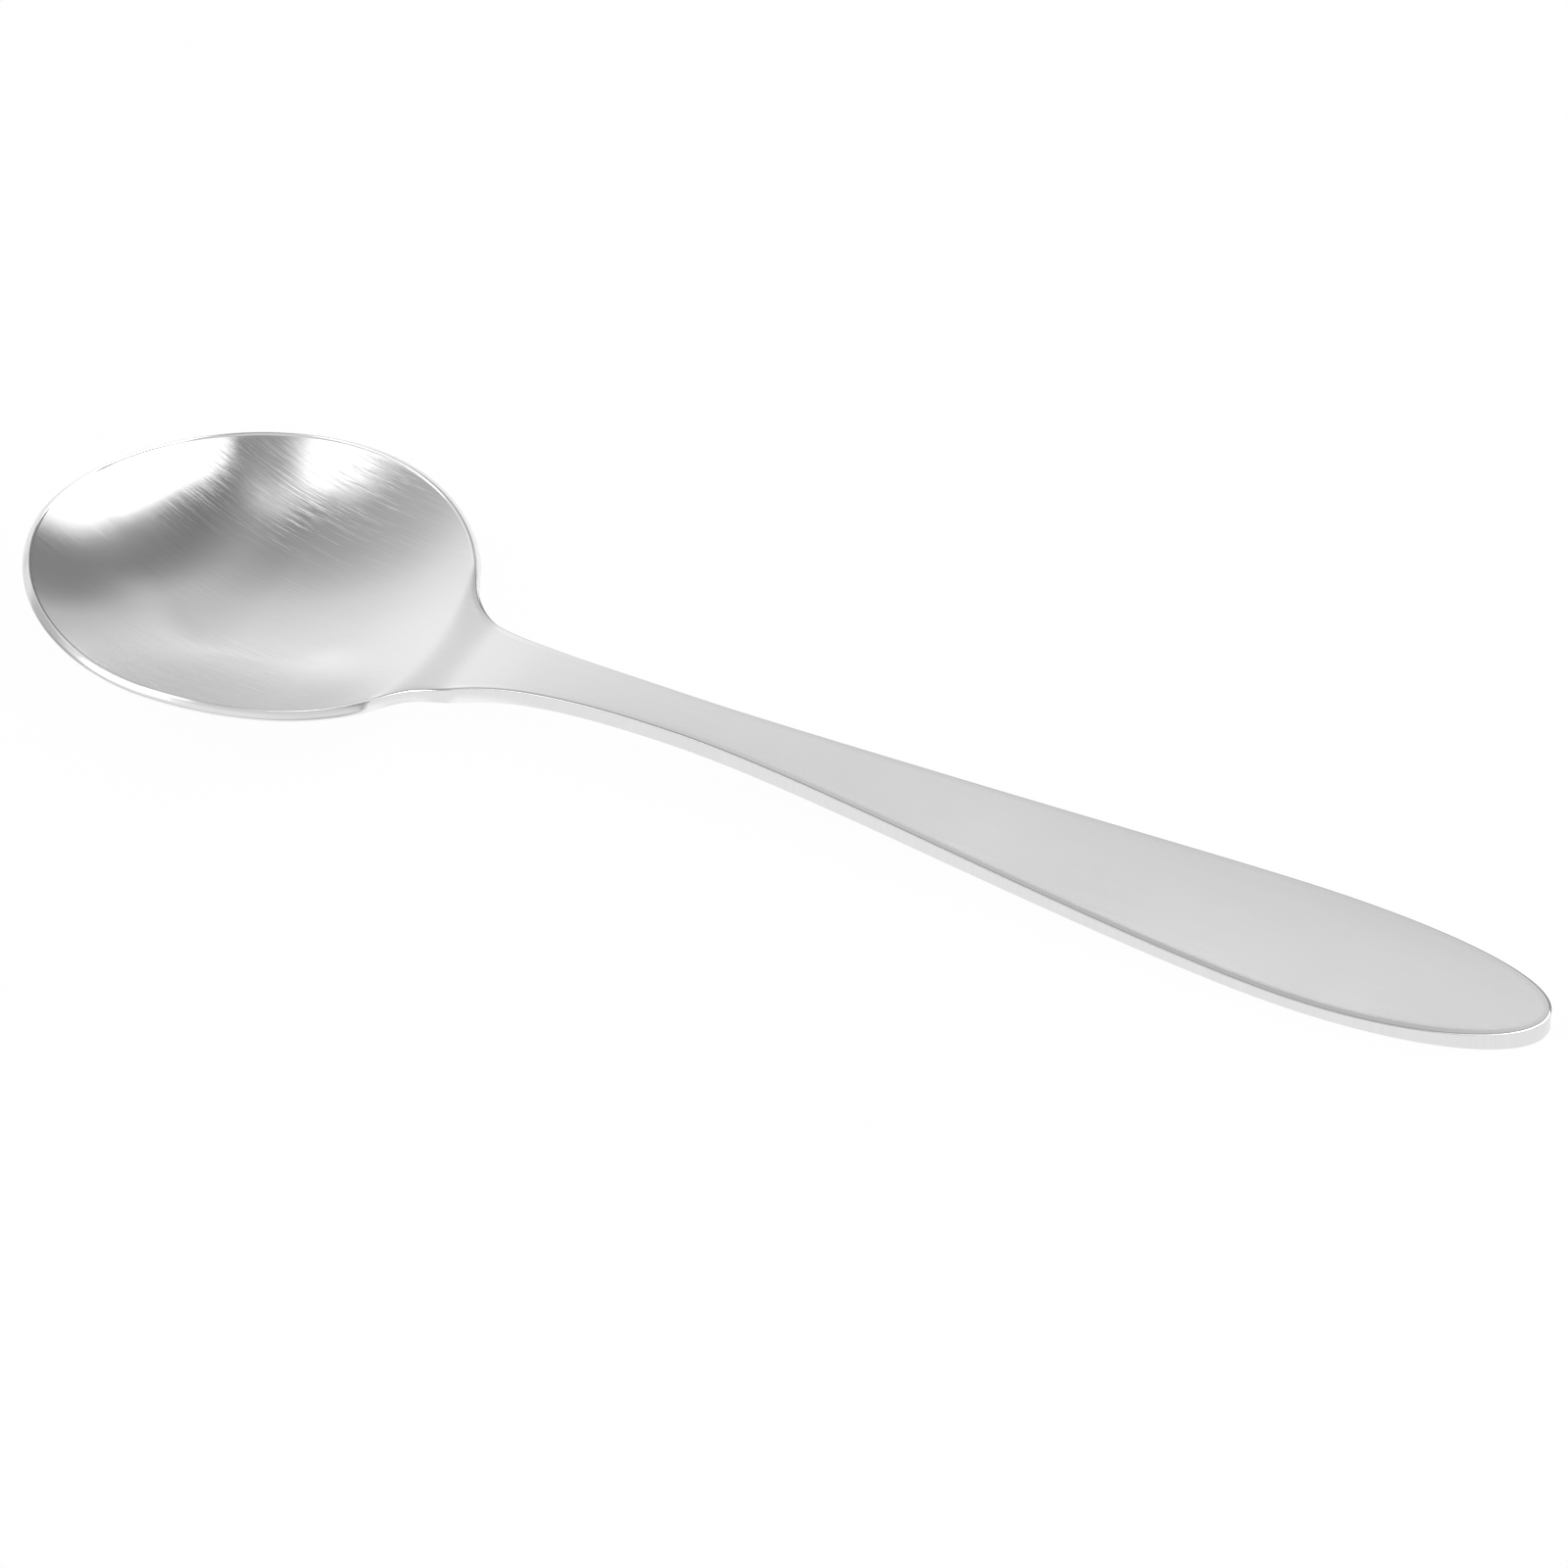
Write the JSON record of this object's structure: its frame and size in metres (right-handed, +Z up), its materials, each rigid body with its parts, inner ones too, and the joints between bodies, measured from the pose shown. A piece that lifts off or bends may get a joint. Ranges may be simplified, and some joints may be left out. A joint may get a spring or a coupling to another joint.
{
  "type": "table spoon",
  "caption": "Spoon pressed from one piece of brushed stainless steel, with a shallow oval bowl, a slim neck and a flat handle that widens to a rounded end.",
  "frame": {"origin": "on the table under the middle of the spoon's box", "axes": "+X from the bowl along the handle, +Y across the spoon, +Z up out of the bowl"},
  "size_m": [0.18, 0.0474, 0.009],
  "materials": {
    "brushed_steel": "satin brushed along the spoon, with plain polished edges"
  },
  "bodies": {
    "root": {"spoon": "brushed_steel"}
  },
  "joints": []
}
